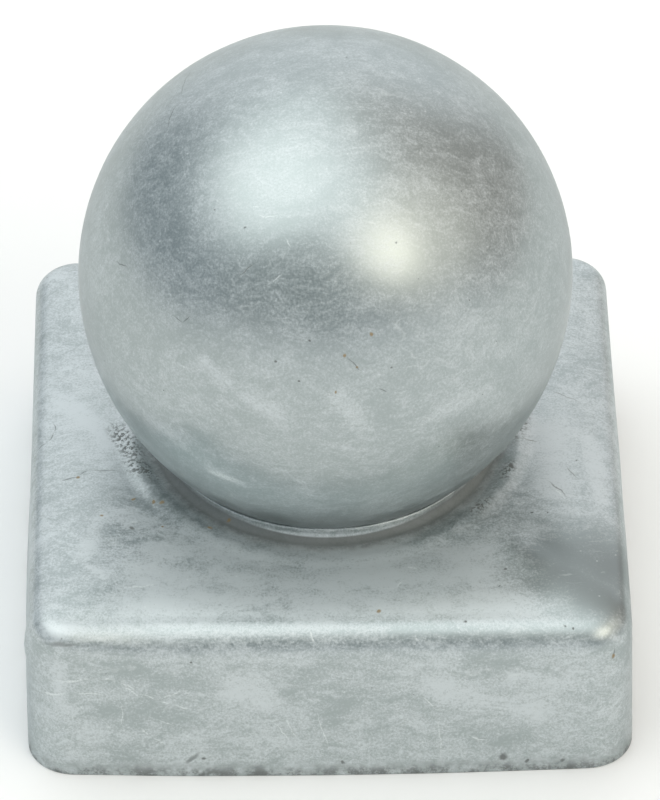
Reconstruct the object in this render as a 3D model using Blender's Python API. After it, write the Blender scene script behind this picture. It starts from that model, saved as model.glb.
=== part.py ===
"""Square post cap with a ball finial, in hot-dip galvanised sheet steel.

Metres, +Z up. The origin is at the middle of the square, on the plane of the skirt's lower rim,
so the cap stands on the XY plane as it would on a table. Its front looks along -Y.
"""

import math

import bmesh
import bpy

# The square cap, pressed from one sheet
POST_ROOM = 0.091  # clear width between the skirt's inner faces at their top, for a 90 mm post
CAP_SHEET = 0.0015  # thickness of the sheet
SKIRT_HEIGHT = 0.0252  # from the rim to where the shoulder starts
RIM_BAND = 0.0015  # lowest part of the skirt, which stands upright
SKIRT_FLARE = 0.0006  # how far each corner of the rim stands out past the top of the skirt
RIM_BOW = 0.0009  # how far the middle of each side bows out past its corners, at the rim
CORNER_RADIUS = 0.0070  # outer radius of the skirt's upright corners
SHOULDER_RADIUS = 0.0035  # outer radius where the skirt turns over into the crown
CROWN_RISE = 0.0010  # rise of the crown from the shoulder to the foot of the collar

# The collar, turned up from the crown around the ball
COLLAR_BORE_RADIUS = 0.0262  # inner radius of the collar at its lip
LIP_SHEET = 0.0005  # the sheet is drawn thinner at the collar's lip
COLLAR_FILLET = 0.0005  # radius of the hollow between crown and collar
COLLAR_HEIGHT = 0.00205  # from the foot of the collar to its lip
FOOT_SQUARENESS = 0.45  # 0 for a round collar foot, 1 for one as square as the skirt

# The hollow ball, two pressed halves welded to one shell
BALL_DIAMETER = 0.0773
LOWER_HALF_DEPTH = 0.0410  # the lower half is pressed a little deeper than a true half ball
BALL_SHEET = 0.0015  # thickness of its sheet
MOUTH_DEPTH = 0.0032  # the ball's open mouth lies this far below the collar's lip
SEAT_GAP = 0.0003  # between the ball and the collar's lip

# Faceting
SIDE_STEPS = 10
CORNER_STEPS = 7
SHOULDER_STEPS = 6
CROWN_STEPS = 5
FILLET_STEPS = 3
BALL_TURN_STEPS = 48
BALL_OUTER_STEPS = 22
BALL_INNER_STEPS = 14
SMOOTH_ANGLE = math.radians(35.0)
MERGE_DISTANCE = 1e-6

# The zinc coat
ZINC_COLOUR = (0.60, 0.63, 0.63, 1.0)
ZINC_ROUGHNESS = 0.42

half_width = POST_ROOM / 2 + CAP_SHEET
collar_radius = COLLAR_BORE_RADIUS + LIP_SHEET
foot_radius = collar_radius + COLLAR_FILLET
shoulder_top = SKIRT_HEIGHT + SHOULDER_RADIUS
foot_height = shoulder_top + CROWN_RISE
lip_height = foot_height + COLLAR_HEIGHT
ball_radius = BALL_DIAMETER / 2


def zinc(name):
    """The hot-dip zinc coat."""
    material = bpy.data.materials.new(name)
    material.use_nodes = True
    shader = material.node_tree.nodes["Principled BSDF"]
    shader.inputs["Base Color"].default_value = ZINC_COLOUR
    shader.inputs["Metallic"].default_value = 1.0
    shader.inputs["Roughness"].default_value = ZINC_ROUGHNESS
    return material


def solid(name, bm, material):
    """The finished mesh as one named object, with its round parts shaded smooth."""
    bmesh.ops.recalc_face_normals(bm, faces=bm.faces)
    mesh = bpy.data.meshes.new(name)
    bm.to_mesh(mesh)
    bm.free()
    mesh.materials.append(material)
    mesh.shade_smooth()
    mesh.set_sharp_from_angle(angle=SMOOTH_ANGLE)
    made = bpy.data.objects.new(name, mesh)
    bpy.context.scene.collection.objects.link(made)
    return made


def square_directions():
    """Directions from the middle to the points around the skirt, closest together in its corners."""
    flat = half_width - CORNER_RADIUS
    quarter = []
    for step in range(SIDE_STEPS):
        quarter.append(math.atan2(flat * (2 * step / SIDE_STEPS - 1), half_width))
    for step in range(CORNER_STEPS):
        turn = math.radians(90) * step / CORNER_STEPS
        x = flat + CORNER_RADIUS * math.cos(turn)
        y = flat + CORNER_RADIUS * math.sin(turn)
        quarter.append(math.atan2(y, x))
    return [angle + math.radians(90) * side for side in range(4) for angle in quarter]


def round_directions(count):
    """The same number of directions, spread evenly, starting from the same corner."""
    start = square_directions()[0]
    return [start + math.radians(360) * step / count for step in range(count)]


def square_reach(angle, half, corner, bow):
    """Distance from the middle to a round-cornered square whose sides bow out, in one direction."""
    long, short = sorted((abs(math.cos(angle)), abs(math.sin(angle))), reverse=True)
    flat = half - corner
    across = short / long * half
    if across <= flat:
        return (half + bow * (1 - (across / flat) ** 2)) / long
    beside = corner**2 - (flat * (long - short)) ** 2
    return flat * (long + short) + math.sqrt(beside)


def outline(half, corner, bow, roundness, height):
    """The points around the cap at one height, between a bowed square (roundness 0) and a circle (1)."""
    square = square_directions()
    circle = round_directions(len(square))
    points = []
    for square_angle, circle_angle in zip(square, circle):
        angle = square_angle + (circle_angle - square_angle) * roundness
        distance = square_reach(angle, half, corner, bow) * (1 - roundness) + half * roundness
        points.append((distance * math.cos(angle), distance * math.sin(angle), height))
    return points


def skirt_outlines():
    """The outlines up the skirt, from the rim to the start of the shoulder."""
    rim = half_width + SKIRT_FLARE
    corner = CORNER_RADIUS + SKIRT_FLARE
    return [
        outline(rim, corner, RIM_BOW, 0, 0),
        outline(rim, corner, RIM_BOW, 0, RIM_BAND),
        outline(half_width, CORNER_RADIUS, 0, 0, SKIRT_HEIGHT),
    ]


def shoulder_outlines():
    """The outlines over the shoulder, a quarter turn inwards."""
    outlines = []
    for step in range(1, SHOULDER_STEPS + 1):
        turn = math.radians(90) * step / SHOULDER_STEPS
        inset = SHOULDER_RADIUS * (1 - math.cos(turn))
        height = SKIRT_HEIGHT + SHOULDER_RADIUS * math.sin(turn)
        outlines.append(outline(half_width - inset, CORNER_RADIUS - inset, 0, 0, height))
    return outlines


def crown_outlines():
    """The outlines up the crown, a low pyramid that grows round towards the collar's foot."""
    edge = half_width - SHOULDER_RADIUS
    edge_corner = CORNER_RADIUS - SHOULDER_RADIUS
    outlines = []
    for step in range(1, CROWN_STEPS + 1):
        share = step / CROWN_STEPS
        half = edge + (foot_radius - edge) * share
        corner = edge_corner + (foot_radius - edge_corner) * share**2 * (1 - FOOT_SQUARENESS)
        roundness = share**3 * (1 - FOOT_SQUARENESS)
        outlines.append(outline(half, corner, 0, roundness, shoulder_top + CROWN_RISE * share))
    return outlines


def collar_outlines():
    """The outlines up the collar, round at its lip."""
    outlines = []
    for step in range(1, FILLET_STEPS + 1):
        turn = math.radians(90) * step / FILLET_STEPS
        half = foot_radius - COLLAR_FILLET * math.sin(turn)
        height = foot_height + COLLAR_FILLET * (1 - math.cos(turn))
        outlines.append(outline(half, half, 0, 1, height))
    outlines.append(outline(collar_radius, collar_radius, 0, 1, lip_height))
    return outlines


def carried_on(bm, loop):
    """A new loop of points extruded from the last one, in the same order."""
    edges = [bm.edges.get(pair) for pair in zip(loop, loop[1:] + loop[:1])]
    made = bmesh.ops.extrude_edge_only(bm, edges=edges)["geom"]
    new = {part for part in made if isinstance(part, bmesh.types.BMVert)}
    ends = [[edge.other_vert(old) for edge in old.link_edges] for old in loop]
    return [next(vertex for vertex in around if vertex in new) for around in ends]


def make_cap(material):
    """The cap's outer face is one loop carried up from the rim. Solidify gives it the sheet's thickness."""
    outlines = skirt_outlines() + shoulder_outlines() + crown_outlines() + collar_outlines()
    bm = bmesh.new()
    thickness = bm.verts.layers.deform.verify()
    loop = bmesh.ops.create_circle(bm, segments=len(outlines[0]), radius=half_width)["verts"]
    for number, points in enumerate(outlines):
        if number:
            loop = carried_on(bm, loop)
        for vertex, point in zip(loop, points):
            vertex.co = point
            vertex[thickness][0] = 1.0
    for vertex in loop:
        vertex[thickness][0] = LIP_SHEET / CAP_SHEET
    cap = solid("cap", bm, material)
    sheet = cap.modifiers.new("sheet", "SOLIDIFY")
    sheet.thickness = CAP_SHEET
    sheet.offset = -1.0
    sheet.use_even_offset = True
    sheet.vertex_group = cap.vertex_groups.new(name="thickness").name
    return cap


def ball_profile(radius, depth, centre_height, mouth_height, steps):
    """Points down one side of the ball, from its top to its mouth: a half ball over a deeper half."""
    mouth_turn = math.asin((centre_height - mouth_height) / depth)
    points = []
    for step in range(steps + 1):
        turn = math.radians(90) - (math.radians(90) + mouth_turn) * step / steps
        reach = radius if turn > 0 else depth
        points.append((radius * math.cos(turn), 0, centre_height + reach * math.sin(turn)))
    return points


def make_ball(material):
    """The ball is one shell spun from its outer and inner profile, open where it sits in the collar."""
    seat_radius = COLLAR_BORE_RADIUS - SEAT_GAP
    centre_height = lip_height + LOWER_HALF_DEPTH * math.sqrt(1 - (seat_radius / ball_radius) ** 2)
    mouth_height = lip_height - MOUTH_DEPTH
    outer = ball_profile(ball_radius, LOWER_HALF_DEPTH, centre_height, mouth_height, BALL_OUTER_STEPS)
    inner_radius, inner_depth = ball_radius - BALL_SHEET, LOWER_HALF_DEPTH - BALL_SHEET
    inner = ball_profile(inner_radius, inner_depth, centre_height, mouth_height, BALL_INNER_STEPS)

    bm = bmesh.new()
    points = [bm.verts.new(point) for point in outer + inner[::-1]]
    for pair in zip(points, points[1:]):
        bm.edges.new(pair)
    bmesh.ops.spin(
        bm,
        geom=list(bm.verts) + list(bm.edges),
        cent=(0, 0, 0),
        axis=(0, 0, 1),
        angle=math.radians(360),
        steps=BALL_TURN_STEPS,
        use_merge=True,
    )
    bmesh.ops.remove_doubles(bm, verts=bm.verts, dist=MERGE_DISTANCE)
    return solid("ball", bm, material)


for old in list(bpy.data.objects):
    bpy.data.objects.remove(old)

make_cap(zinc("zinc on the cap"))
make_ball(zinc("zinc on the ball"))
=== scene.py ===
# %% [markdown]
# # A galvanised ball post cap
#
# The real thing is a cap for a fence or gate post: a square pan pressed from steel sheet, with a
# hollow steel ball set in a round collar on top. Both were dipped in molten zinc, so the looks of
# this object are the looks of that coat: grey, mottled, half metal and half dull bloom. The frame
# loaded here holds the two solids at their real size, and every piece below stays inside their box.

# %% The frame
import math

import bmesh
import bpy
from mathutils import Matrix, Vector, noise
from mathutils.bvhtree import BVHTree
from mathutils.geometry import intersect_point_line


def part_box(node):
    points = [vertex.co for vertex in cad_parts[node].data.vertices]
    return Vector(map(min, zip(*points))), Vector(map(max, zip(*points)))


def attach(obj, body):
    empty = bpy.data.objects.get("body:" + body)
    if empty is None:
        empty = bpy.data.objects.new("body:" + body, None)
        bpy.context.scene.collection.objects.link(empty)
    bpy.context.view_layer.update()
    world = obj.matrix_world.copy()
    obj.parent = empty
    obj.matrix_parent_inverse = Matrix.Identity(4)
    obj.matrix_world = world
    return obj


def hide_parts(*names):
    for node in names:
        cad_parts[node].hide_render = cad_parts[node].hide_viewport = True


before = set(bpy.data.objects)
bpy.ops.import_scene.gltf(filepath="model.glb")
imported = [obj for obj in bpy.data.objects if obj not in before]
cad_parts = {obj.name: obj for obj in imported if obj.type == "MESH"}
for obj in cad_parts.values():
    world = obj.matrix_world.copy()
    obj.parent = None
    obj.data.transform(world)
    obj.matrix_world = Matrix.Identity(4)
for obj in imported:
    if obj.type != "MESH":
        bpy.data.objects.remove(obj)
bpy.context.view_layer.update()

MM = 0.001
cap_low, cap_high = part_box("cap")
ball_low, ball_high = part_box("ball")
print("cap", [round(side / MM, 1) for side in cap_high - cap_low], "mm")
print("ball", [round(side / MM, 1) for side in ball_high - ball_low], "mm")

# %% [markdown]
# ## The camera
#
# The photo was taken from about 40 degrees above the table with a long lens from a metre away. The
# corners of the skirt and the circle of the ball fix that view: the angle, the distance and the
# lens are the ones at which a 94 mm square and its ball fall on the photo's outline. Setting the
# camera by those numbers, and not by eye, keeps the proportions honest.

# %% The camera
CAMERA_ELEVATION = math.radians(39.97)
CAMERA_AZIMUTH = math.radians(-1.07)
CAMERA_DISTANCE = 1.0227
CAMERA_AIM = Vector((0.70, 0, 36.15)) * MM
LENS_MM = 290.05
SENSOR_MM = 36
CLIP_START = 10 * MM


def place_camera():
    """The camera looks back along one line at the aim point, upright in its view."""
    level, rise = math.cos(CAMERA_ELEVATION), math.sin(CAMERA_ELEVATION)
    ahead, aside = math.cos(CAMERA_AZIMUTH), math.sin(CAMERA_AZIMUTH)
    back = Vector((aside * level, -ahead * level, rise))
    right = Vector((ahead, aside, 0))
    up = back.cross(right)
    turn = Matrix((right, up, back)).transposed()
    lens = bpy.data.cameras.new("camera")
    lens.lens = LENS_MM
    lens.sensor_width = SENSOR_MM
    lens.clip_start = CLIP_START
    camera = bpy.data.objects.new("camera", lens)
    camera.matrix_world = Matrix.Translation(CAMERA_AIM + back * CAMERA_DISTANCE) @ turn.to_4x4()
    bpy.context.scene.collection.objects.link(camera)
    bpy.context.scene.camera = camera
    return camera


camera = place_camera()
print("camera", [round(place, 3) for place in camera.matrix_world.translation], "m")

# %% [markdown]
# ## Writing materials as sums
#
# A material is a tree of small nodes. Wired by hand it soon stops being readable, so two classes
# let a finish be written as arithmetic: `Wire` is a value on its way through the tree, and a sum or
# a product of wires adds the Math node for it. `Recipe.add` makes any other node from its type, its
# settings and what goes into its sockets.


# %% Wires and recipes
class Wire:
    """An output socket. Arithmetic on wires adds Math nodes to their recipe."""

    def __init__(self, recipe, socket):
        self.recipe = recipe
        self.socket = socket

    def maths(self, operation, first, second=0.0):
        """A Math node of one operation."""
        return self.recipe.add("ShaderNodeMath", {"operation": operation}, {0: first, 1: second})

    def __add__(self, other):
        return self.maths("ADD", self, other)

    def __radd__(self, other):
        return self.maths("ADD", other, self)

    def __sub__(self, other):
        return self.maths("SUBTRACT", self, other)

    def __rsub__(self, other):
        return self.maths("SUBTRACT", other, self)

    def __mul__(self, other):
        return self.maths("MULTIPLY", self, other)

    def __rmul__(self, other):
        return self.maths("MULTIPLY", other, self)

    def smooth(self, low, high):
        """0 below low, 1 above high, and an even ease between. It falls where low is above high."""
        ends = {0: self, 1: low, 2: high, 3: 0.0, 4: 1.0}
        return self.recipe.add("ShaderNodeMapRange", {"interpolation_type": "SMOOTHSTEP"}, ends)


class Recipe:
    """A node tree that is written from top to bottom."""

    def __init__(self, tree):
        self.tree = tree
        tree.nodes.clear()

    def add(self, kind, settings=None, values=None, out=0):
        """One node: its settings first, then a value or a wire for each named socket."""
        node = self.tree.nodes.new(kind)
        for name, setting in (settings or {}).items():
            setattr(node, name, setting)
        for name, value in (values or {}).items():
            if isinstance(value, Wire):
                self.tree.links.new(value.socket, node.inputs[name])
            else:
                node.inputs[name].default_value = value
        return Wire(self, node.outputs[out]) if node.outputs else None

    def height_of(self, place):
        """The upright part of a place or a direction."""
        return self.add("ShaderNodeSeparateXYZ", values={0: place}, out="Z")

    def blend(self, factor, first, second):
        """A colour between two, by a factor."""
        settings = {"data_type": "RGBA", "clamp_factor": True}
        return self.add("ShaderNodeMix", settings, {0: factor, 6: first, 7: second}, out=2)

    def vector_maths(self, operation, first, second, third=(0, 0, 0), out=0):
        """A Vector Math node. Its lengths, distances and dot products come out second, at out=1."""
        values = {0: first, 1: second, 2: third}
        return self.add("ShaderNodeVectorMath", {"operation": operation}, values, out)


print("recipes ready")

# %% [markdown]
# ## The studio
#
# A shiny grey ball shows the room more than it shows itself, so the room is built from what the
# ball in the photo reflects: light from a high pale ceiling that falls off towards the horizon, a
# broad window high on the left, a smaller warm lamp high on the right and towards the camera, a
# pale wall behind, a warmer wall on the right, a dark gap low in front, and the white table below.
# One world shader holds them all as soft lobes of light. Lamps standing in the scene would do the
# same, but they could get in the way of another view. Each lobe is a cone: the azimuth and the
# elevation it lies at, the angle out to which it is full, and the angle at which it ends.

# %% The studio's light
CEILING = (1.60, 1.66, 1.66, 1.0)
LOW_ROOM = (0.36, 0.41, 0.45, 1.0)
RIGHT_WALL = (0.52, 0.465, 0.42, 1.0)
LAMP_GLOW = (1.30, 1.22, 1.09, 1.0)
BACK_WALL = (1.17, 1.19, 1.22, 1.0)
FRONT_GAP = (0.33, 0.37, 0.38, 1.0)
FRONT_CARD = (0.94, 0.96, 0.97, 1.0)
WINDOW = (2.15, 2.22, 2.18, 1.0)
LAMP = (3.75, 3.45, 2.95, 1.0)
RIGHT_WALL_CONE = (118, 30, 22, 57)
BACK_WALL_CONE = (178, 20, 18, 50)
FRONT_GAP_CONE = (-20, 28, 12, 40)
LAMP_GLOW_CONE = (62, 38, 10, 36)
FRONT_CARD_CONE = (8, 0, 45, 75)
WINDOW_CONE = (-72, 66, 12, 32)
LAMP_CONE = (40, 42, 4, 17)
RIGHT_WALL_SHARE = 0.85
LAMP_GLOW_SHARE = 0.9
CEILING_FADE = (0.92, 0.42)
CARD_FADE = (0.26, 0.10)


def aim(azimuth, elevation):
    """A direction: azimuth 0 is towards the camera and 90 to the right, in degrees."""
    turn, rise = math.radians(azimuth), math.radians(elevation)
    return (math.sin(turn) * math.cos(rise), -math.cos(turn) * math.cos(rise), math.sin(rise))


def light_lobe(recipe, direction, azimuth, elevation, inner, outer):
    """1 inside a cone round one direction, easing to 0 at the outer angle."""
    facing = recipe.vector_maths("DOT_PRODUCT", direction, aim(azimuth, elevation), out=1)
    return facing.smooth(math.cos(math.radians(outer)), math.cos(math.radians(inner)))


def light_the_room():
    """The world: a pale ceiling over a dimmer room, with a window, a lamp, walls and a dark gap."""
    world = bpy.data.worlds.new("studio")
    world.use_nodes = True
    bpy.context.scene.world = world
    recipe = Recipe(world.node_tree)
    direction = recipe.add("ShaderNodeTexCoord", out="Generated")
    height = recipe.height_of(direction)

    low = height.smooth(*CEILING_FADE)
    light = recipe.blend(low, CEILING, LOW_ROOM)
    right = light_lobe(recipe, direction, *RIGHT_WALL_CONE)
    light = recipe.blend(right * RIGHT_WALL_SHARE, light, RIGHT_WALL)
    back = light_lobe(recipe, direction, *BACK_WALL_CONE)
    light = recipe.blend(back * low, light, BACK_WALL)
    gap = light_lobe(recipe, direction, *FRONT_GAP_CONE)
    light = recipe.blend(gap, light, FRONT_GAP)
    glow = light_lobe(recipe, direction, *LAMP_GLOW_CONE)
    light = recipe.blend(glow * LAMP_GLOW_SHARE, light, LAMP_GLOW)
    card = height.smooth(*CARD_FADE) * light_lobe(recipe, direction, *FRONT_CARD_CONE)
    light = recipe.blend(card, light, FRONT_CARD)
    window = light_lobe(recipe, direction, *WINDOW_CONE)
    light = recipe.blend(window, light, WINDOW)
    lamp = light_lobe(recipe, direction, *LAMP_CONE)
    light = recipe.blend(lamp, light, LAMP)

    background = recipe.add("ShaderNodeBackground", values={"Color": light, "Strength": 1.0})
    recipe.add("ShaderNodeOutputWorld", values={"Surface": background})


light_the_room()
bpy.context.scene.view_settings.view_transform = "Standard"
print("room lit")

# %% [markdown]
# ## The table
#
# The photo has a plain white ground. A wide matt table top gives that, and it also lights the skirt
# and the ball from below, which a bare white background would not.

# %% The table
TABLE_SIZE = 4.0
TABLE_WHITE = (0.88, 0.88, 0.88, 1.0)
TABLE_ROUGHNESS = 0.8


def lay_table():
    """A plain white table top under the cap."""
    bm = bmesh.new()
    bmesh.ops.create_grid(bm, x_segments=1, y_segments=1, size=TABLE_SIZE / 2)
    mesh = bpy.data.meshes.new("table")
    bm.to_mesh(mesh)
    bm.free()
    table = bpy.data.objects.new("table", mesh)
    bpy.context.scene.collection.objects.link(table)
    material = bpy.data.materials.new("white table")
    material.use_nodes = True
    recipe = Recipe(material.node_tree)
    values = {"Base Color": TABLE_WHITE, "Roughness": TABLE_ROUGHNESS}
    shader = recipe.add("ShaderNodeBsdfPrincipled", values=values)
    recipe.add("ShaderNodeOutputMaterial", values={"Surface": shader})
    mesh.materials.append(material)
    return table


table = lay_table()
print(table.name, "laid,", TABLE_SIZE, "m wide")

# %% [markdown]
# ## Sizes of the cap
#
# The frame gives the outer box of the cap. What it can't give, such as the sheet's thickness and
# the radii of the press tool, is written here. Most are the sizes that the solids were made with.
# Four follow this one worn cap in the photo instead: its shoulder turns a little less than a
# quarter, its crown is slightly arched, its collar has a wider hollow at its foot, and the lip is
# thinner and closer to the ball. Everything else follows from these.

# %% Sizes of the cap
SHEET = 1.5 * MM
POST_ROOM = 91 * MM
HALF_WIDTH = POST_ROOM / 2 + SHEET
SKIRT_HEIGHT = 25.2 * MM
RIM_BAND = 1.5 * MM
SKIRT_FLARE = 0.6 * MM
RIM_BOW = 0.9 * MM
CORNER_RADIUS = 7.0 * MM
SHOULDER_RADIUS = 3.5 * MM
SHOULDER_TURN = math.radians(79)
CROWN_RISE = 1.0 * MM
CROWN_ARCH = 0.45 * MM
LIP_SHEET = 0.4 * MM
COLLAR_BORE_RADIUS = 25.95 * MM
COLLAR_RADIUS = COLLAR_BORE_RADIUS + LIP_SHEET
COLLAR_FILLET = 1.5 * MM
COLLAR_HEIGHT = 2.05 * MM
FOOT_SQUARENESS = 0.45

FOOT_RADIUS = COLLAR_RADIUS + COLLAR_FILLET
SHOULDER_TOP = SKIRT_HEIGHT + SHOULDER_RADIUS
FOOT_HEIGHT = SHOULDER_TOP + CROWN_RISE
LIP_HEIGHT = FOOT_HEIGHT + COLLAR_HEIGHT
print("lip at", round(LIP_HEIGHT / MM, 2), "mm, top of the box", round(cap_high.z / MM, 2), "mm")

# %% [markdown]
# ## The pressed cap
#
# A press tool draws a flat sheet down into a pan, so the shape is a stack of outlines that goes
# from a square with round corners at the rim to a circle at the collar. A box with bevels gives the
# skirt but not that change of outline. Here one loop of edges starts as a circle, is extruded from
# height to height, and each new loop is moved onto its outline. Solidify then adds the sheet's
# thickness on the inside, as on the real pan.

# %% Outlines of the cap
SIDE_STEPS = 40
CORNER_STEPS = 16
SKIRT_STEPS = 14
SHOULDER_STEPS = 12
CROWN_STEPS = 30
COLLAR_STEPS = 8
ARCH_PEAK = 27 / 4


def square_directions():
    """Directions from the middle to the points round the skirt, closest together at its corners."""
    flat = HALF_WIDTH - CORNER_RADIUS
    quarter = []
    for step in range(SIDE_STEPS):
        quarter.append(math.atan2(flat * (2 * step / SIDE_STEPS - 1), HALF_WIDTH))
    for step in range(CORNER_STEPS):
        turn = math.radians(90) * step / CORNER_STEPS
        x = flat + CORNER_RADIUS * math.cos(turn)
        y = flat + CORNER_RADIUS * math.sin(turn)
        quarter.append(math.atan2(y, x))
    return [angle + math.radians(90) * side for side in range(4) for angle in quarter]


def square_reach(angle, half, corner, bow):
    """Distance from the middle to a round-cornered square whose sides bow out, in one direction."""
    long, short = sorted((abs(math.cos(angle)), abs(math.sin(angle))), reverse=True)
    flat = half - corner
    across = short / long * half
    if across <= flat:
        return (half + bow * (1 - (across / flat) ** 2)) / long
    beside = corner**2 - (flat * (long - short)) ** 2
    return flat * (long + short) + math.sqrt(beside)


def outline(half, corner, bow, roundness, height):
    """The points round the cap at one height: a bowed square at roundness 0 and a circle at 1."""
    square = square_directions()
    points = []
    for step, square_angle in enumerate(square):
        circle_angle = square[0] + math.radians(360) * step / len(square)
        angle = square_angle + (circle_angle - square_angle) * roundness
        distance = square_reach(angle, half, corner, bow) * (1 - roundness) + half * roundness
        points.append(Vector((distance * math.cos(angle), distance * math.sin(angle), height)))
    return points


def skirt_outlines():
    """Up the skirt, which spreads and bows out towards its rim."""
    outlines = [outline(HALF_WIDTH + SKIRT_FLARE, CORNER_RADIUS + SKIRT_FLARE, RIM_BOW, 0, 0)]
    for step in range(SKIRT_STEPS + 1):
        share = 1 - step / SKIRT_STEPS
        height = RIM_BAND + (SKIRT_HEIGHT - RIM_BAND) * step / SKIRT_STEPS
        half = HALF_WIDTH + SKIRT_FLARE * share
        corner = CORNER_RADIUS + SKIRT_FLARE * share
        outlines.append(outline(half, corner, RIM_BOW * share, 0, height))
    return outlines


def shoulder_outlines():
    """Over the shoulder, almost a quarter turn inwards."""
    outlines = []
    for step in range(1, SHOULDER_STEPS + 1):
        turn = SHOULDER_TURN * step / SHOULDER_STEPS
        inset = SHOULDER_RADIUS * (1 - math.cos(turn))
        height = SKIRT_HEIGHT + SHOULDER_RADIUS * math.sin(turn)
        outlines.append(outline(HALF_WIDTH - inset, CORNER_RADIUS - inset, 0, 0, height))
    return outlines


def crown_outlines():
    """Up the crown, a low arched pyramid that grows round towards the collar's foot."""
    inset = SHOULDER_RADIUS * (1 - math.cos(SHOULDER_TURN))
    edge = HALF_WIDTH - inset
    edge_corner = CORNER_RADIUS - inset
    edge_height = SKIRT_HEIGHT + SHOULDER_RADIUS * math.sin(SHOULDER_TURN)
    outlines = []
    for step in range(1, CROWN_STEPS + 1):
        share = step / CROWN_STEPS
        half = edge + (FOOT_RADIUS - edge) * share
        corner = edge_corner + (FOOT_RADIUS - edge_corner) * share**2 * (1 - FOOT_SQUARENESS)
        roundness = share**3 * (1 - FOOT_SQUARENESS)
        arch = CROWN_ARCH * ARCH_PEAK * share * (1 - share) ** 2
        height = edge_height + (FOOT_HEIGHT - edge_height) * share + arch
        outlines.append(outline(half, corner, 0, roundness, height))
    return outlines


def collar_outlines():
    """Up the collar, round at its lip."""
    outlines = []
    for step in range(1, COLLAR_STEPS + 1):
        turn = math.radians(90) * step / COLLAR_STEPS
        half = FOOT_RADIUS - COLLAR_FILLET * math.sin(turn)
        height = FOOT_HEIGHT + COLLAR_FILLET * (1 - math.cos(turn))
        outlines.append(outline(half, half, 0, 1, height))
    outlines.append(outline(COLLAR_RADIUS, COLLAR_RADIUS, 0, 1, LIP_HEIGHT))
    return outlines


cap_stack = skirt_outlines() + shoulder_outlines() + crown_outlines() + collar_outlines()
print(len(cap_stack), "outlines of", len(cap_stack[0]), "points")

# %% [markdown]
# ## What the press and the years did
#
# Nothing on the real cap is quite flat or straight. The press left a raised ring where the crown
# turns down to the collar and a soft fold from there to each corner, the zinc ran thick at one
# corner, and knocks left shallow dents. The front edge has sunk, most of all on the right, so that
# the photo shows it level. Each of these is a small move of the cap's points, worked out from where
# the point lies, and all of them stay inside the solid's own box.

# %% Helpers for small moves
def ease(share):
    """A smooth step from 0 to 1."""
    return share * share * (3 - 2 * share)


def share_of(value, start, end):
    """How far a value has come from a start towards an end, between 0 and 1."""
    return min(1.0, max(0.0, (value - start) / (end - start)))


def bump(distance, reach):
    """A soft bump: 1 at no distance, 0 from the reach onwards."""
    return ease(max(0.0, 1 - abs(distance) / reach))


print("a bump is", bump(0.5, 1), "high half way out")

# %% Ridges, folds and dents
RING_RADIUS = 30.8 * MM
RING_REACH = 2.6 * MM
RING_HEIGHT = 0.55 * MM
RING_LOWEST = 0.2
FOLD_REACH = 5.0 * MM
FOLD_HEIGHT = 0.28 * MM
FOLD_RADIUS = 43 * MM
FOLD_LENGTH = 14 * MM
DENT_SIZE = 17 * MM
CROWN_DENT = 0.16 * MM
SKIRT_DENT = 0.22 * MM
RUN_PLACE = Vector((-47.3, -39.5, 21.5)) * MM
RUN_REACH = 4.5 * MM
RUN_HEIGHT = 0.75 * MM
SKIRT_SINK = 3.1 * MM
CROWN_SINK = 1.1 * MM
SINK_AT_LEFT = 0.2
SINK_WIDTH = (-45 * MM, -26 * MM)
SINK_DEPTH = (20 * MM, 47 * MM)
SINK_POWER = 1.5
LIP_CHIP = 0.16 * MM
LIP_CHIP_SIZE = 3 * MM
CROWN_START = SHOULDER_TOP + MM / 100
LIP_START = FOOT_HEIGHT + COLLAR_HEIGHT / 2


def crown_lift(point):
    """How far the ring, the folds and the dents lift a point of the crown."""
    radius = math.hypot(point.x, point.y)
    sideways = abs(point.x) / radius
    ring_share = RING_LOWEST + (1 - RING_LOWEST) * sideways
    ring = RING_HEIGHT * bump(radius - RING_RADIUS, RING_REACH) * ring_share
    across = (abs(point.x) - abs(point.y)) / math.sqrt(2)
    fold = FOLD_HEIGHT * bump(across, FOLD_REACH) * bump(radius - FOLD_RADIUS, FOLD_LENGTH)
    open_crown = ease(share_of(radius, FOOT_RADIUS, FOOT_RADIUS + RING_REACH))
    dent = CROWN_DENT * noise.noise(point / DENT_SIZE) * open_crown
    return ring + fold + dent


def skirt_push(point):
    """How far dents push a point of the skirt inwards, and the thick run of zinc outwards."""
    upright = ease(share_of(point.z, SHOULDER_TOP, SKIRT_HEIGHT))
    level = Vector((point.x, point.y, max(point.z, RIM_BAND)))
    dent = SKIRT_DENT * (0.5 + 0.5 * noise.noise(level / DENT_SIZE)) * upright
    run = RUN_HEIGHT * bump((point - RUN_PLACE).length, RUN_REACH)
    return run - dent


def sunken(point):
    """A point moved by the front edge's sink, which leaves the shoulder lower and rounder there."""
    along = SINK_AT_LEFT + (1 - SINK_AT_LEFT) * ease(share_of(point.x, *SINK_WIDTH))
    weight = along * share_of(-point.y, *SINK_DEPTH) ** SINK_POWER
    turn = math.asin(share_of(point.z, SKIRT_HEIGHT, SHOULDER_TOP))
    up_skirt = share_of(point.z, RIM_BAND, SKIRT_HEIGHT)
    sink = SKIRT_SINK * up_skirt + (CROWN_SINK - SKIRT_SINK) * math.sin(turn)
    inset = (SKIRT_SINK - CROWN_SINK) * (1 - math.cos(turn))
    return point + Vector((0, inset, -sink)) * weight


def worn(point):
    """A point of the cap, moved by what the press and the years did to it."""
    outwards = Vector((point.x, point.y, 0)).normalized()
    if point.z > CROWN_START:
        moved = point + Vector((0, 0, crown_lift(point)))
    else:
        moved = point + outwards * skirt_push(point)
    moved = sunken(point) + (moved - point)
    if point.z > LIP_START:
        moved.z = point.z - LIP_CHIP * abs(noise.noise(point / LIP_CHIP_SIZE))
    return moved


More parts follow.
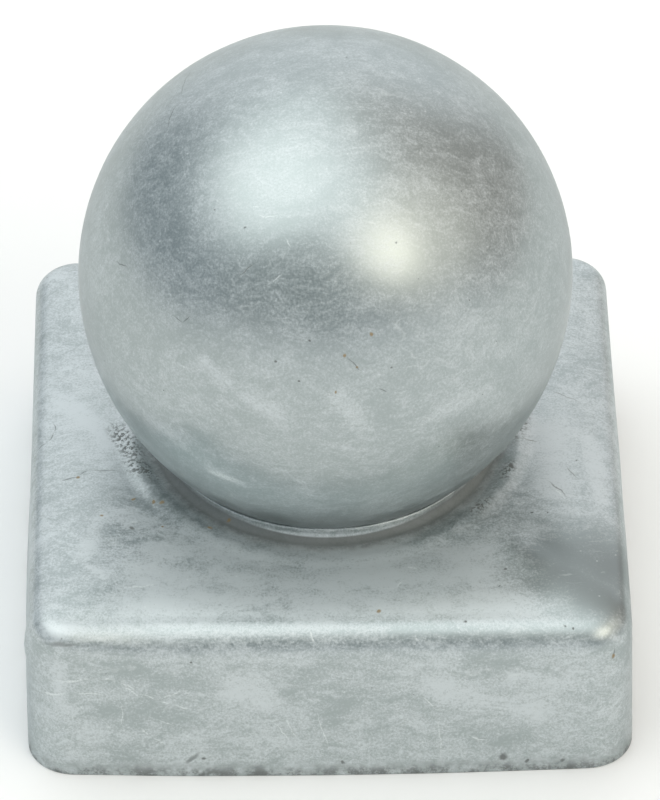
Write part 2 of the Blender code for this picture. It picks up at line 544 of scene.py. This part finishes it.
ring_top = Vector((RING_RADIUS, 0, SHOULDER_TOP))
print("lift at the ring", round(crown_lift(ring_top) / MM, 2), "mm")

# %% [markdown]
# ## From outlines to sheet
#
# The loop's vertices keep their order as they are extruded, so the next outline's points can be
# handed out one by one. A vertex group tells Solidify to leave the lip thinner than the rest, and
# a narrow bevel takes the sharpness off the sheet's edges.

# %% The cap's mesh
WORN_EDGE = 0.2 * MM
WORN_EDGE_SEGMENTS = 3
WORN_EDGE_ANGLE = math.radians(60)


def carried_on(bm, loop):
    """A new loop of points extruded from the last one, in the same order."""
    edges = [bm.edges.get(pair) for pair in zip(loop, loop[1:] + loop[:1])]
    made = bmesh.ops.extrude_edge_only(bm, edges=edges)["geom"]
    new = {part for part in made if isinstance(part, bmesh.types.BMVert)}
    ends = [[edge.other_vert(old) for edge in old.link_edges] for old in loop]
    return [next(vertex for vertex in around if vertex in new) for around in ends]


def finished(name, bm, node):
    """A mesh as a smooth object that stands for one node of the frame."""
    mesh = bpy.data.meshes.new(name)
    bm.to_mesh(mesh)
    bm.free()
    mesh.shade_smooth()
    piece = bpy.data.objects.new(name, mesh)
    bpy.context.scene.collection.objects.link(piece)
    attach(piece, "root")
    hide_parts(node)
    return piece


def press_cap():
    """The pan: one loop carried from the rim to the lip, then given its thickness."""
    bm = bmesh.new()
    thickness = bm.verts.layers.deform.verify()
    loop = bmesh.ops.create_circle(bm, segments=len(cap_stack[0]), radius=HALF_WIDTH)["verts"]
    for number, points in enumerate(cap_stack):
        if number:
            loop = carried_on(bm, loop)
        for vertex, point in zip(loop, points):
            vertex.co = worn(point)
            vertex[thickness][0] = 1.0
    for vertex in loop:
        vertex[thickness][0] = LIP_SHEET / SHEET
    bmesh.ops.recalc_face_normals(bm, faces=bm.faces)
    cap = finished("pressed_cap", bm, "cap")
    sheet = cap.modifiers.new("sheet", "SOLIDIFY")
    sheet.thickness = SHEET
    sheet.offset = -1.0
    sheet.use_even_offset = True
    sheet.vertex_group = cap.vertex_groups.new(name="thickness").name
    edge = cap.modifiers.new("worn edges", "BEVEL")
    edge.width = WORN_EDGE
    edge.segments = WORN_EDGE_SEGMENTS
    edge.limit_method = "ANGLE"
    edge.angle_limit = WORN_EDGE_ANGLE
    return cap


cap = press_cap()
print("cap has", len(cap.data.polygons), "faces before its thickness")

# %% [markdown]
# ## The hollow ball
#
# Two cups pressed from sheet are welded to a ball and dipped, so the weld hardly shows and the ball
# stays a little uneven. An icosphere has faces of one size all over and no pole, which suits a
# surface that is going to be dented, so it is cut open at the mouth, stretched a little below its
# middle and given its thickness.

# %% The ball's mesh
BALL_RADIUS = 38.65 * MM
LOWER_HALF_DEPTH = 41.0 * MM
MOUTH_DEPTH = 3.2 * MM
BALL_CENTRE = ball_high.z - BALL_RADIUS
BALL_SUBDIVISIONS = 6
BALL_DENT = 0.16 * MM
BALL_DENT_SIZE = 15 * MM
SMALL_DENT = 0.03 * MM
SMALL_DENT_SIZE = 4 * MM
SEAT_FADE = (-29 * MM, -20 * MM)


def ball_dent(point):
    """How far a point of the ball is pressed in. The seam with the collar is left tight."""
    broad = BALL_DENT * (0.5 + 0.5 * noise.noise(point / BALL_DENT_SIZE))
    small = SMALL_DENT * (0.5 + 0.5 * noise.noise(point / SMALL_DENT_SIZE))
    return (broad + small) * ease(share_of(point.z, *SEAT_FADE))


def make_ball():
    """The ball: a sphere, a little dented, open below and deeper in its lower half."""
    bm = bmesh.new()
    bmesh.ops.create_icosphere(bm, subdivisions=BALL_SUBDIVISIONS, radius=BALL_RADIUS)
    for vertex in bm.verts:
        vertex.co -= vertex.co.normalized() * ball_dent(vertex.co)
        if vertex.co.z < 0:
            vertex.co.z *= LOWER_HALF_DEPTH / BALL_RADIUS
    bmesh.ops.translate(bm, vec=(0, 0, BALL_CENTRE), verts=bm.verts)
    everything = list(bm.verts) + list(bm.edges) + list(bm.faces)
    bmesh.ops.bisect_plane(
        bm,
        geom=everything,
        plane_co=(0, 0, LIP_HEIGHT - MOUTH_DEPTH),
        plane_no=(0, 0, -1),
        clear_outer=True,
    )
    ball = finished("hollow_ball", bm, "ball")
    sheet = ball.modifiers.new("sheet", "SOLIDIFY")
    sheet.thickness = SHEET
    sheet.offset = -1.0
    return ball


ball = make_ball()
print("ball has", len(ball.data.polygons), "faces before its thickness")

# %% [markdown]
# ## Placing a mark by a line of sight
#
# Some marks can't be left to chance: the rust spots, the long scratches on the skirt, the crack in
# the zinc beside the ball. The camera is known, so a line of sight through a pixel of the photo
# meets a piece at one point. That point is the mark's place on the surface, from any side. A mark
# is then a soft lens shape round that place: long and thin for a scratch, round for a spot. Broad
# patches need no such fine edge, so they are written onto the mesh's own points as an attribute.

# %% Lines of sight
PHOTO_WIDTH = 660
PHOTO_HEIGHT = 800
MARK_DEPTH = 2.5 * MM
LINE_CORE = 0.25
SPOT_CORE = 0.35
PATCH_EDGE = 4 * MM
PATCH_WANDER = 0.3


def skin(piece):
    """The outer surface of a piece, for lines of sight."""
    return BVHTree.FromPolygons(
        [vertex.co for vertex in piece.data.vertices],
        [list(face.vertices) for face in piece.data.polygons],
    )


def seen_at(surface, x, y):
    """The point and the normal of a surface that the photo shows at one pixel."""
    pixel = SENSOR_MM / PHOTO_HEIGHT / LENS_MM
    sight = Vector(((x - PHOTO_WIDTH / 2) * pixel, (PHOTO_HEIGHT / 2 - y) * pixel, -1))
    towards = camera.matrix_world.to_3x3() @ sight.normalized()
    place, normal = surface.ray_cast(camera.matrix_world.translation, towards)[:2]
    if place is None:
        raise ValueError(f"nothing is seen at {x}, {y}")
    return place, normal


def line_mask(recipe, place, surface, mark):
    """1 along a line between two pixels, easing to 0 at its half width, in millimetres."""
    x1, y1, x2, y2, half_width = mark
    first, first_normal = seen_at(surface, x1, y1)
    last, last_normal = seen_at(surface, x2, y2)
    along = (last - first).normalized()
    out = (first_normal + last_normal).normalized()
    across = out.cross(along).normalized()
    turned = Matrix((along, across, along.cross(across))).transposed().to_euler()
    size = ((last - first).length / 2 + half_width * MM, half_width * MM, MARK_DEPTH)
    values = {"Vector": place, "Location": (first + last) / 2, "Rotation": turned, "Scale": size}
    local = recipe.add("ShaderNodeMapping", {"vector_type": "TEXTURE"}, values)
    return recipe.vector_maths("LENGTH", local, (0, 0, 0), out=1).smooth(1.0, LINE_CORE)


def spot_mask(recipe, place, surface, mark):
    """1 at a pixel, easing to 0 at a radius in millimetres."""
    x, y, radius = mark
    reach = radius * MM
    distance = recipe.vector_maths("DISTANCE", place, seen_at(surface, x, y)[0], out=1)
    return distance.smooth(reach, reach * SPOT_CORE)


def paint(piece, surface, name, marks):
    """Writes broad soft patches onto the points of a piece, as an attribute for its material."""
    painted = piece.data.attributes.new(name, "FLOAT", "POINT")
    for x1, y1, x2, y2, reach in marks:
        first = seen_at(surface, x1, y1)[0]
        last = seen_at(surface, x2, y2)[0]
        for vertex, value in zip(piece.data.vertices, painted.data):
            share = intersect_point_line(vertex.co, first, last)[1]
            nearest = first.lerp(last, min(1.0, max(0.0, share)))
            wander = 1 + PATCH_WANDER * noise.noise(vertex.co / PATCH_EDGE)
            value.value = max(value.value, bump((vertex.co - nearest).length, reach * MM * wander))


def strongest(masks):
    """The highest of several masks. Each joins as soon as it is made, so few wait at a time."""
    highest = None
    for mask in masks:
        highest = mask if highest is None else mask.maths("MAXIMUM", highest, mask)
    return highest


cap_skin = skin(cap)
ball_skin = skin(ball)
middle = seen_at(ball_skin, PHOTO_WIDTH / 2, PHOTO_HEIGHT / 2)[0]
print("the photo's middle shows the ball at", [round(side / MM, 1) for side in middle], "mm")

# %% [markdown]
# ## The marks
#
# Each mark is given by pixels of the photo. Lines are two ends and a half width in millimetres,
# spots are one place and a radius, and the broad patches (bare, worn, frosted) are two ends and a
# reach. They were chosen one by one, as a painter would place them. Some of them are painted light:
# the bare patch, two worn strips on the shoulder and one dark line under the left corner carry
# painted shade, and five scratches along the lip and one frosted mark at the left corner carry
# painted highlights.

# %% Marks on the cap
CAP_SCRATCHES_AND_LIP_HIGHLIGHT = (
    # The first five lines follow the lip's edge: worn bright zinc with a painted highlight along it.
    (300, 530, 345, 531, 0.20),
    (345, 531, 372, 528, 0.26),
    (372, 528, 392, 522, 0.40),
    (392, 522, 412, 515, 0.34),
    (412, 515, 436, 505, 0.22),
    (48, 679, 97, 678, 0.24),
    (97, 678, 118, 681, 0.20),
    (118, 681, 138, 692, 0.18),
    (138, 692, 156, 701, 0.20),
    (156, 701, 171, 706, 0.20),
    (171, 706, 190, 709, 0.16),
    (39, 692, 69, 692, 0.26),
    (69, 692, 110, 695, 0.22),
    (156, 701, 184, 690, 0.18),
    (143, 697, 120, 686, 0.16),
    (155, 719, 174, 725, 0.18),
    (140, 728, 153, 737, 0.20),
    (153, 737, 164, 745, 0.18),
    (103, 719, 110, 728, 0.16),
    (120, 704, 124, 730, 0.12),
    (283, 712, 299, 744, 0.16),
    (316, 709, 330, 753, 0.16),
    (272, 720, 290, 742, 0.14),
    (418, 693, 438, 712, 0.14),
    (438, 712, 442, 768, 0.14),
    (462, 734, 490, 741, 0.16),
    (118, 589, 163, 584, 0.15),
    (129, 521, 139, 522, 0.22),
    (405, 567, 419, 568, 0.24),
    (396, 588, 405, 579, 0.24),
    (311, 632, 314, 643, 0.22),
    (550, 486, 573, 503, 0.19),
)
CAP_CRACKS_AND_SHADE = (
    # Painted shade: this first line is the dark band under the left corner's highlight, where the
    # shoulder mirrors the dark room.
    (42, 643, 84, 645, 0.50),
    (60, 482, 78, 476, 0.22),
    (78, 476, 88, 470, 0.17),
    (87, 470, 124, 471, 0.14),
    (124, 471, 145, 469, 0.17),
    (53, 424, 55, 432, 0.16),
    (55, 432, 49, 441, 0.16),
    (49, 441, 37, 451, 0.16),
    (549, 389, 582, 404, 0.14),
    (565, 465, 578, 479, 0.15),
    (545, 478, 572, 500, 0.15),
    (518, 438, 541, 441, 0.19),
    (614, 649, 612, 660, 0.22),
    (185, 765, 200, 752, 0.60),
)
# Painted shade: the bare patches darken the right front of the crown, where a dark reflection lies.
CAP_BARE_AND_SHADE = (
    (572, 554, 602, 564, 11.5),
    (568, 574, 602, 600, 7.5),
)
CAP_WORN_AND_SHADE = (
    (111, 668, 186, 680, 3.2),
    (88, 714, 188, 716, 3.0),
    (296, 690, 320, 664, 3.4),
    (478, 660, 508, 664, 2.6),
    (330, 720, 350, 700, 2.6),
    (470, 742, 530, 738, 2.2),
    (602, 646, 628, 652, 2.6),
    (36, 648, 62, 650, 2.6),
    # Rubbed frost and painted shade: these two darken the right half of the shoulder to dim its
    # highlight.
    (400, 632, 560, 632, 2.4),
    (560, 632, 590, 631, 2.4),
)
CAP_FROSTED_AND_HIGHLIGHT = (
    (130, 600, 500, 606, 7.0),
    (160, 548, 330, 560, 6.0),
    (330, 560, 480, 552, 5.0),
    (120, 514, 152, 526, 4.0),
    (140, 572, 260, 584, 6.5),
    (260, 584, 480, 576, 6.5),
    # Painted highlight: more frost pales the left front corner where the shoulder catches the window.
    (50, 628, 70, 629, 3.0),
    (236, 690, 262, 700, 3.6),
    (384, 590, 418, 566, 1.6),
    (512, 676, 558, 682, 2.0),
    (430, 690, 540, 712, 3.4),
    (60, 640, 60, 700, 2.0),
    (112, 580, 76, 560, 1.4),
    (104, 512, 84, 560, 2.2),
    (60, 400, 110, 440, 3.0),
    (548, 430, 560, 482, 6.0),
    (590, 440, 600, 500, 3.0),
)
CAP_RUST = (
    (77, 477, 0.42),
    (133, 499, 0.48),
    (162, 503, 0.60),
    (154, 502, 0.42),
    (101, 516, 0.48),
    (228, 520, 0.50),
    (210, 528, 0.46),
    (163, 526, 0.26),
    (380, 611, 0.52),
    (613, 657, 0.55),
    (508, 430, 0.40),
)
CAP_PITS = (
    (132, 528, 0.60),
    (190, 663, 0.26),
    (506, 568, 0.36),
    (499, 586, 0.28),
    (565, 627, 0.28),
    (573, 629, 0.28),
    (465, 622, 0.26),
    (549, 566, 0.22),
    (576, 460, 0.30),
    (531, 512, 0.26),
    (547, 513, 0.26),
    (558, 439, 0.26),
    (343, 763, 0.50),
    (504, 757, 1.10),
    (527, 761, 0.55),
    (562, 759, 0.60),
    (204, 758, 0.45),
    (478, 505, 0.60),
    (511, 466, 0.60),
)
CAP_STIPPLE = (
    (113, 424, 140, 462, 2.8),
    (128, 462, 158, 478, 2.4),
    (524, 404, 514, 440, 2.2),
    (512, 462, 503, 478, 1.6),
    (470, 514, 490, 498, 1.6),
)
print(len(CAP_SCRATCHES_AND_LIP_HIGHLIGHT + CAP_CRACKS_AND_SHADE), "lines and", len(CAP_RUST + CAP_PITS), "spots on the cap")

# %% Marks on the ball
BALL_SCRATCHES = (
    (256, 216, 277, 216, 0.15),
    (250, 208, 262, 207, 0.14),
    (272, 283, 283, 271, 0.15),
    (284, 236, 292, 248, 0.14),
    (208, 470, 240, 482, 1.10),
)
BALL_CRACKS = (
    (191, 70, 180, 98, 0.12),
    (180, 98, 164, 135, 0.12),
    (115, 261, 128, 267, 0.19),
    (174, 315, 182, 322, 0.17),
    (182, 322, 190, 315, 0.16),
    (236, 281, 256, 261, 0.12),
    (380, 388, 388, 393, 0.16),
    (346, 356, 364, 374, 0.16),
)
BALL_FROSTED = (
    (200, 360, 226, 380, 3.0),
    (248, 400, 280, 412, 2.4),
    (340, 400, 360, 420, 3.0),
    (440, 410, 486, 392, 2.6),
    (210, 468, 240, 484, 1.6),
    (150, 420, 180, 440, 2.6),
)
BALL_RUST = (
    (345, 356, 0.40),
    (357, 367, 0.34),
    (372, 334, 0.40),
    (336, 392, 0.34),
)
BALL_PITS = (
    (276, 362, 0.32),
    (311, 341, 0.28),
    (299, 381, 0.28),
    (483, 394, 0.26),
    (392, 368, 0.26),
    (396, 244, 0.24),
    (244, 228, 0.24),
    (214, 210, 0.22),
    (164, 391, 0.24),
    (496, 341, 0.26),
    (470, 300, 0.22),
    (163, 280, 0.26),
)
print(len(BALL_SCRATCHES + BALL_CRACKS), "lines and", len(BALL_RUST + BALL_PITS), "spots on the ball")

# %% [markdown]
# ## Galvanised zinc
#
# Fresh zinc is a soft mirror. Weather turns it to a pale frost that scatters light, thin in some
# places and thick in others, wiped into faint streaks by handling. So the finish is a smooth grey
# metal under a rough whitish crust. Where the crust is thin the metal is left to mirror the room.
# The dark patch at the right is thin crust with painted shade: its colour is darkened for the dark
# reflection that lies there.

# %% Colours of the zinc
METAL = (0.366, 0.410, 0.411, 1.0)
FROST = (0.583, 0.627, 0.640, 1.0)
# Painted shade: this dark colour stands in for the dark reflection on the bare patch.
BARE_PAINTED_SHADE = (0.20, 0.225, 0.225, 1.0)
EDGE_TINT = (0.72, 0.74, 0.74, 1.0)
# Bright for scratches, and for the painted highlight along the lip.
BRIGHT_WEAR_AND_HIGHLIGHT = (0.74, 0.78, 0.78, 1.0)
# Dark for dirt, and for the painted shade in the crease, on the collar's wall and at the ball's seam.
DARK_DIRT_AND_SHADE = (0.13, 0.14, 0.135, 1.0)
RUST = (0.27, 0.19, 0.085, 1.0)
print("frost is", round(FROST[1] / METAL[1], 2), "times as pale as the metal")

# %% [markdown]
# ## The patterns of the coat
#
# Each layer of the coat is noise of its own size. Streaks are noise that is pushed about and then
# squeezed along one direction, hairlines are the thin band where a noise passes its middle value,
# and specks are the middles of some cells of a Voronoi pattern. All of them read Object
# coordinates, so they stay where they are on the piece, from every side.

# %% Patterns
HAIRLINE_SQUEEZE = (0.10, 1.0, 1.0)
HAIRLINE_CORE = 0.3
HAIRLINE_RUNS = (0.56, 0.64)
SPECK_CORE = 0.5


class Coat(Recipe):
    """A recipe for zinc, with the patterns that its layers share."""

    def __init__(self, tree):
        super().__init__(tree)
        self.place = self.add("ShaderNodeTexCoord", out="Object")

    def noise(self, size, detail, roughness, place=None, out=0):
        """Noise whose lumps are about one size, in metres."""
        values = {"Vector": place or self.place, "Scale": 1 / size}
        values.update({"Detail": detail, "Roughness": roughness})
        return self.add("ShaderNodeTexNoise", values=values, out=out)

    def drifted(self, size, amount):
        """The place, pushed about by noise, so that what reads it has uneven edges."""
        push = self.noise(size, 2, 0.5, out=1)
        centred = self.vector_maths("SUBTRACT", push, (0.5, 0.5, 0.5))
        return self.vector_maths("MULTIPLY_ADD", centred, (amount, amount, amount), self.place)

    def squeezed(self, place, turn, scale):
        """A place turned and squeezed, for streaks."""
        turned = [math.radians(angle) for angle in turn]
        values = {"Vector": place, "Rotation": turned, "Scale": scale}
        return self.add("ShaderNodeMapping", values=values)

    def hairlines(self, size, turn, width):
        """Thin curved lines, broken into short runs."""
        moved = self.drifted(size / 2, size / 4)
        near = self.noise(size, 1, 0.4, self.squeezed(moved, turn, HAIRLINE_SQUEEZE)) - 0.5
        line = near.maths("ABSOLUTE", near).smooth(width, width * HAIRLINE_CORE)
        return line * self.noise(size * 0.8, 2, 0.5, moved).smooth(*HAIRLINE_RUNS)

    def axis_distance(self, place):
        """How far a place lies from the upright axis through the ball."""
        flat = self.vector_maths("MULTIPLY", place, (1, 1, 0))
        return self.vector_maths("LENGTH", flat, (0, 0, 0), out=1)

    def specks(self, spacing, radius, share):
        """Small round specks in a share of the cells of one spacing."""
        reach = radius / spacing
        values = {"Vector": self.place, "Scale": 1 / spacing}
        cell = self.add("ShaderNodeTexVoronoi", values=values)
        colour = Wire(self, cell.socket.node.outputs["Color"])
        chance = self.add("ShaderNodeSeparateColor", values={0: colour})
        chosen = chance.smooth(1 - share, 1.01 - share)
        return cell.smooth(reach, reach * SPECK_CORE) * chosen


def marks_of(coat, place, surface, shape, marks):
    """All the marks of one list, as one mask."""
    return strongest(shape(coat, place, surface, mark) for mark in marks)


print("patterns ready")

# %% [markdown]
# ## Where dirt gathers and shade falls
#
# The crease round the collar and the collar's upright wall lie under the ball: they get dirt and
# painted shade, a darker colour for the shade that falls there. So does the ball just above the
# collar's lip. Dirt alone lies in the beaten zinc beside the ball and along the lower rim. Each of
# these is a distance from the ball's upright axis or a height above the rim, broken up by noise, so
# none of them has a clean edge.

# %% Dirt and painted shade
PATCHY_SIZE = 3 * MM
CREASE_FADE = (29.6 * MM, 27.6 * MM)
CREASE_PATCHES = (0.36, 0.56)
WALL_SHADE_FADE = (28.6 * MM, 27.4 * MM)
LIP_EDGE = (26.28 * MM, 26.42 * MM)
RIM_DIRT_FADE = (3.4 * MM, 0.2 * MM)
RIM_DIRT_PATCHES = (0.44, 0.58)
STIPPLE_SIZE = 0.6 * MM
STIPPLE_PATCHES = (0.49, 0.57)
SEAM_DIRT_AND_SHADE_HEIGHT = 1.2 * MM
SEAM_DIRT_AND_SHADE_PATCHES = (0.4, 0.6)
SEAM_DIRT_AND_SHADE_SHARE = 0.5


def cap_dirt_and_shade(coat, surface, loose, grain):
    """Dirt and painted shade round the collar, dirt on the beaten zinc by the ball and the rim."""
    true_radius = coat.axis_distance(coat.place)
    patchy = coat.noise(PATCHY_SIZE, 3, 0.7)
    # Dirt and painted shade: the crease under the ball is darkened, patchy as dirt is.
    crease_dirt_and_shade = coat.axis_distance(loose).smooth(*CREASE_FADE)
    crease_dirt_and_shade = crease_dirt_and_shade * (0.45 + 0.4 * patchy.smooth(*CREASE_PATCHES))
    # Painted shade with a little dirt: the collar's wall under the ball is darkened almost evenly.
    wall_dirt_and_shade = true_radius.smooth(*WALL_SHADE_FADE) * (0.80 + 0.2 * grain)
    crease_dirt_and_shade = strongest([crease_dirt_and_shade, wall_dirt_and_shade]) * true_radius.smooth(*LIP_EDGE)
    rim = coat.height_of(loose).smooth(*RIM_DIRT_FADE)
    rim = rim * (patchy * 0.55 + grain * 0.45).smooth(*RIM_DIRT_PATCHES)
    stipple = marks_of(coat, loose, surface, line_mask, CAP_STIPPLE)
    stipple = stipple * coat.noise(STIPPLE_SIZE, 2, 0.6).smooth(*STIPPLE_PATCHES)
    return strongest([crease_dirt_and_shade, rim, stipple])


def ball_dirt_and_shade(coat, surface, loose, grain):
    """Dirt and painted shade where the ball meets the collar."""
    # Dirt and painted shade: the ball is darkened just above the collar's lip.
    seam_dirt_and_shade = coat.height_of(loose).smooth(LIP_HEIGHT + SEAM_DIRT_AND_SHADE_HEIGHT, LIP_HEIGHT)
    return seam_dirt_and_shade * grain.smooth(*SEAM_DIRT_AND_SHADE_PATCHES) * SEAM_DIRT_AND_SHADE_SHARE


print("dirt in", len(CAP_STIPPLE), "beaten places and in the seams")

# %% [markdown]
# ## Putting the coat together
#
# How much frost there is decides most: it lightens the metal, dulls its mirror and roughens it.
# Scratches, dirt and rust are laid over that, one by one, each with its own colour and its own
# effect on the shine. Painted highlights go with the scratches and painted shade with the dirt. The
# same noises also lift the surface by a few hundredths of a millimetre, so a highlight breaks up
# where the colour does.

# %% Amounts in the coat
STREAK_SIZE = 2.0 * MM
STREAK_TURN = (25, 12, 28)
STREAK_SQUEEZE = (0.36, 1.0, 1.3)
CLOUD_SIZE = 11 * MM
GRAIN_SIZE = 0.36 * MM
WAVE_SIZE = 7 * MM
EDGE_SIZE = 2.2 * MM
EDGE_WANDER = 1.3 * MM
CAP_FROST_RANGE = (0.32, 0.68)
BALL_FROST_RANGE = (0.34, 0.84)
SCRATCH_GRAIN = (0.30, 0.55)
CRACK_GRAIN = (0.25, 0.5)
FLECK_STREAKS = (0.45, 0.60)
HAIRLINE = {"size": 5 * MM, "turn": (0, 10, 25), "width": 0.008}
FLECKS = {"spacing": 1.1 * MM, "radius": 0.22 * MM, "share": 0.35}
BROAD_SPECKS = {"spacing": 3.4 * MM, "radius": 0.20 * MM, "share": 0.3}
FINE_SPECKS = {"spacing": 1.6 * MM, "radius": 0.11 * MM, "share": 0.3}
FROST_FROM = {"streaks": 0.7, "clouds": 0.3, "grain": 0.9, "frosted": 0.15, "worn": 0.13, "bare": 0.25}
BRIGHT_AND_HIGHLIGHT_FROM = {"scratches_and_highlights": 0.8, "hairlines": 0.25, "flecks": 0.45}
DIRT_AND_SHADE_FROM = {"cracks_and_shade": 0.75, "specks": 0.6, "fine specks": 0.6}
COVER = {"bare": 0.65, "bright_and_highlight": 0.8, "dirt_and_shade": 0.85, "rust": 0.85}
METALNESS = {"clean": 0.90, "frost": 0.34, "bright_and_highlight": 0.2, "dirt_and_shade": 0.7, "rust": 0.9}
ROUGHNESS = {"clean": 0.30, "frost": 0.14, "bright_and_highlight": 0.1, "dirt_and_shade": 0.3, "rust": 0.3}
BUMP_STRENGTH = 0.35
BUMP_HEIGHT = 0.06 * MM
print("streaks of", STREAK_SIZE / MM, "mm, grain of", GRAIN_SIZE / MM, "mm")


# %% The zinc coat
def frost_amount(coat, streaks, grain):
    """How thick the frost is: noise, more of it on frosted patches and less on rubbed ones."""
    frosted, worn_off, bare = [
        coat.add("ShaderNodeAttribute", {"attribute_name": patch}, out="Fac")
        for patch in ("frosted", "worn", "bare")
    ]
    clouds = coat.noise(CLOUD_SIZE, 2, 0.6)
    amount = streaks * FROST_FROM["streaks"] + clouds * FROST_FROM["clouds"]
    amount = amount + (grain - 0.5) * FROST_FROM["grain"] + frosted * FROST_FROM["frosted"]
    amount = amount - worn_off * FROST_FROM["worn"] - bare * FROST_FROM["bare"]
    return amount, bare


def zinc_coat(name, surface, scratches_and_highlights, cracks_and_shade, rust, pits, dirt_and_shade_of, frost_range):
    """One piece's finish: metal, frost, scratches, painted highlights, dirt, painted shade, rust, in
    layers.
    """
    material = bpy.data.materials.new(name)
    material.use_nodes = True
    coat = Coat(material.node_tree)
    wavy = coat.drifted(WAVE_SIZE, WAVE_SIZE)
    loose = coat.drifted(EDGE_SIZE, EDGE_WANDER)
    streaks = coat.noise(STREAK_SIZE, 6, 0.8, coat.squeezed(wavy, STREAK_TURN, STREAK_SQUEEZE))
    grain = coat.noise(GRAIN_SIZE, 4, 0.8)
    amount, bare = frost_amount(coat, streaks, grain)
    frost = amount.smooth(*frost_range)

    bright_and_highlight = marks_of(coat, loose, surface, line_mask, scratches_and_highlights) * grain.smooth(*SCRATCH_GRAIN)
    fine = coat.hairlines(**HAIRLINE) * BRIGHT_AND_HIGHLIGHT_FROM["hairlines"]
    flecks = coat.specks(**FLECKS) * streaks.smooth(*FLECK_STREAKS) * BRIGHT_AND_HIGHLIGHT_FROM["flecks"]
    bright_and_highlight = strongest([bright_and_highlight * BRIGHT_AND_HIGHLIGHT_FROM["scratches_and_highlights"], fine, flecks])

    pit_mask = marks_of(coat, loose, surface, spot_mask, pits)
    # Cracks, with one line of painted shade under the left corner.
    crack_and_shade_mask = marks_of(coat, loose, surface, line_mask, cracks_and_shade) * grain.smooth(*CRACK_GRAIN)
    fine_specks = coat.specks(**FINE_SPECKS) * DIRT_AND_SHADE_FROM["fine specks"]
    specks = strongest([coat.specks(**BROAD_SPECKS), fine_specks]) * DIRT_AND_SHADE_FROM["specks"]
    gathered_dirt_and_shade = dirt_and_shade_of(coat, surface, loose, grain)
    dirt_and_shade = strongest([pit_mask, crack_and_shade_mask * DIRT_AND_SHADE_FROM["cracks_and_shade"], specks, gathered_dirt_and_shade])
    rust_mask = marks_of(coat, loose, surface, spot_mask, rust)

    colour = coat.blend(frost, METAL, FROST)
    # Painted shade: the bare patch is darkened here.
    colour = coat.blend(bare * COVER["bare"], colour, BARE_PAINTED_SHADE)
    # Scratches are laid on here, with the painted highlight along the lip.
    colour = coat.blend(bright_and_highlight * COVER["bright_and_highlight"], colour, BRIGHT_WEAR_AND_HIGHLIGHT)
    # Dirt and painted shade are laid on here in one dark colour.
    colour = coat.blend(dirt_and_shade * COVER["dirt_and_shade"], colour, DARK_DIRT_AND_SHADE)
    colour = coat.blend(rust_mask * COVER["rust"], colour, RUST)
    metal = METALNESS["clean"] - frost * METALNESS["frost"] - bright_and_highlight * METALNESS["bright_and_highlight"]
    metal = metal * (1 - dirt_and_shade * METALNESS["dirt_and_shade"]) * (1 - rust_mask * METALNESS["rust"])
    rough = ROUGHNESS["clean"] + frost * ROUGHNESS["frost"] + bright_and_highlight * ROUGHNESS["bright_and_highlight"]
    rough = rough + dirt_and_shade * ROUGHNESS["dirt_and_shade"] + rust_mask * ROUGHNESS["rust"]
    relief = {"Height": (streaks + grain) * 0.5, "Strength": BUMP_STRENGTH, "Distance": BUMP_HEIGHT}
    values = {"Base Color": colour, "Metallic": metal, "Roughness": rough}
    values["Normal"] = coat.add("ShaderNodeBump", values=relief)
    values["Specular Tint"] = EDGE_TINT
    shader = coat.add("ShaderNodeBsdfPrincipled", values=values)
    coat.add("ShaderNodeOutputMaterial", values={"Surface": shader})
    return material


print("the coat is ready to be laid")

# %% [markdown]
# ## Coating the two pieces
#
# The patches are painted onto the meshes first, since the material looks them up by name. The ball
# has less frost than the cap, so its range starts and ends higher.

# %% Coated pieces
paint(cap, cap_skin, "frosted", CAP_FROSTED_AND_HIGHLIGHT)
paint(cap, cap_skin, "worn", CAP_WORN_AND_SHADE)
paint(cap, cap_skin, "bare", CAP_BARE_AND_SHADE)
paint(ball, ball_skin, "frosted", BALL_FROSTED)
cap_zinc = zinc_coat(
    "zinc on the cap",
    cap_skin,
    CAP_SCRATCHES_AND_LIP_HIGHLIGHT,
    CAP_CRACKS_AND_SHADE,
    CAP_RUST,
    CAP_PITS,
    cap_dirt_and_shade,
    CAP_FROST_RANGE,
)
ball_zinc = zinc_coat(
    "zinc on the ball",
    ball_skin,
    BALL_SCRATCHES,
    BALL_CRACKS,
    BALL_RUST,
    BALL_PITS,
    ball_dirt_and_shade,
    BALL_FROST_RANGE,
)
cap.data.materials.append(cap_zinc)
ball.data.materials.append(ball_zinc)
print("zinc on", cap.name, "and", ball.name)
